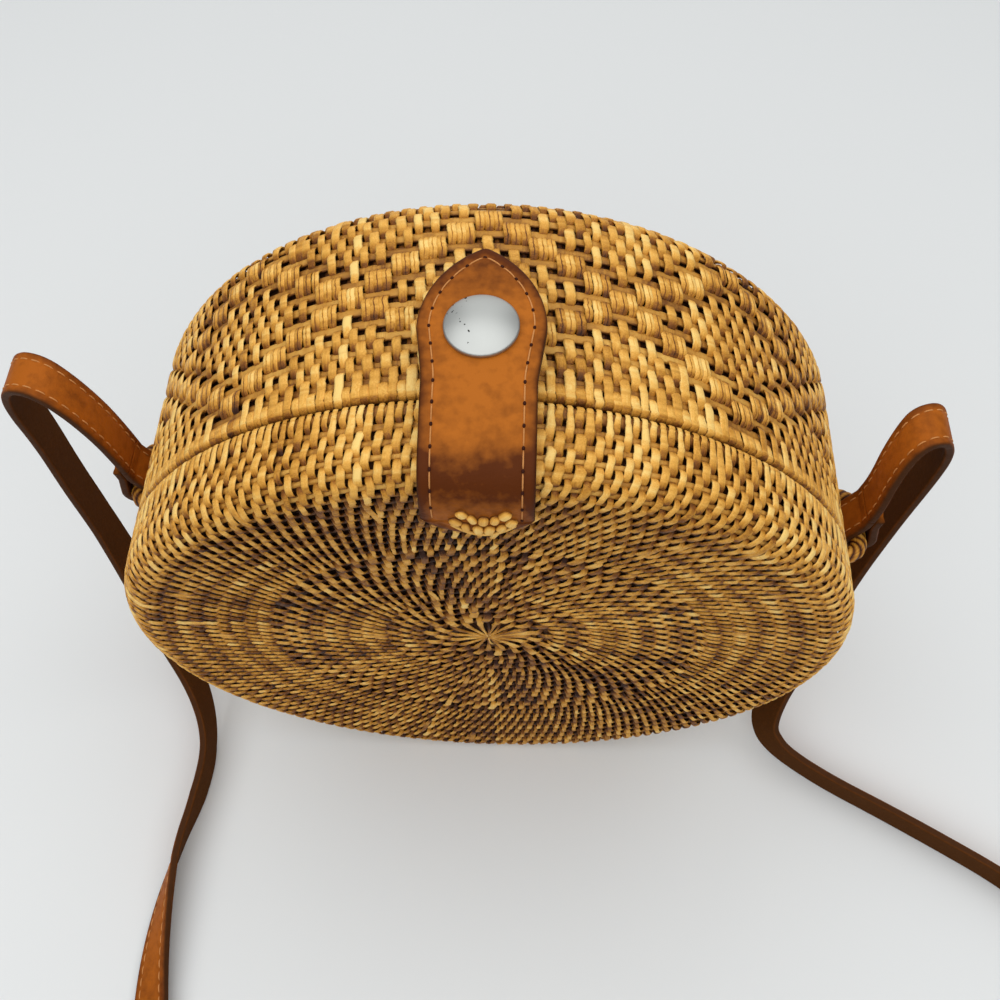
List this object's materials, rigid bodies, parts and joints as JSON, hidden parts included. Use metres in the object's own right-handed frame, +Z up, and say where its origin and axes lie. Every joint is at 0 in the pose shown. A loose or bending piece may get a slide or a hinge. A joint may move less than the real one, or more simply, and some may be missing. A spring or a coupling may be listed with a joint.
{
  "type": "round woven shoulder bag",
  "caption": "Round hard-sided shoulder bag of woven cane in hinged halves, closed by a leather tab with a press snap, on a narrow leather strap.",
  "frame": {"origin": "on the floor under the bag, at the middle of its depth and width, on the small flat that it stands on", "axes": "+X to the right of someone facing the front, +Y from the front face to the back face, +Z up"},
  "size_m": [0.3351, 0.2799, 0.1985],
  "materials": {
    "cane": "woven split cane, smoked to a golden brown, satin",
    "lining": "plain woven cotton lining, matt",
    "tab_leather": "saddle brown leather, smooth grain, darkened edges",
    "strap_leather": "saddle brown leather, dark flesh side, stitched edges",
    "snap_metal": "nickel plate, lightly pitted"
  },
  "bodies": {
    "back": {"back_shell": "cane", "back_mouth_rod": "cane", "back_lining": "lining", "hinge_loop_left": "cane", "hinge_loop_right": "cane", "ear_left": "cane", "ear_right": "cane", "snap_stud": "snap_metal", "snap_post": "snap_metal", "strap_left_end": "strap_leather", "strap_left_fall": "strap_leather", "strap_floor_run": "strap_leather", "strap_right_fall": "strap_leather", "strap_right_end": "strap_leather"},
    "front": {"front_shell": "cane", "front_mouth_rod": "cane", "front_lining": "lining", "tab_root": "tab_leather", "tab_anchor": "cane"},
    "tab": {"tab_outer": "tab_leather", "tab_inner": "tab_leather", "snap_cap": "snap_metal", "snap_socket": "snap_metal"}
  },
  "joints": [
    {"name": "lid_hinge", "type": "hinge", "parent": "back", "child": "front", "pos_m": [0, -0.01895, 0], "axis": [1, 0, 0], "range_deg": [0, 75], "deforming": ["hinge_loop_left", "hinge_loop_right"]},
    {"name": "tab_flip", "type": "hinge", "parent": "front", "child": "tab", "pos_m": [0, -0.041, 0.181], "axis": [1, 0, 0], "range_deg": [0, 90]}
  ]
}
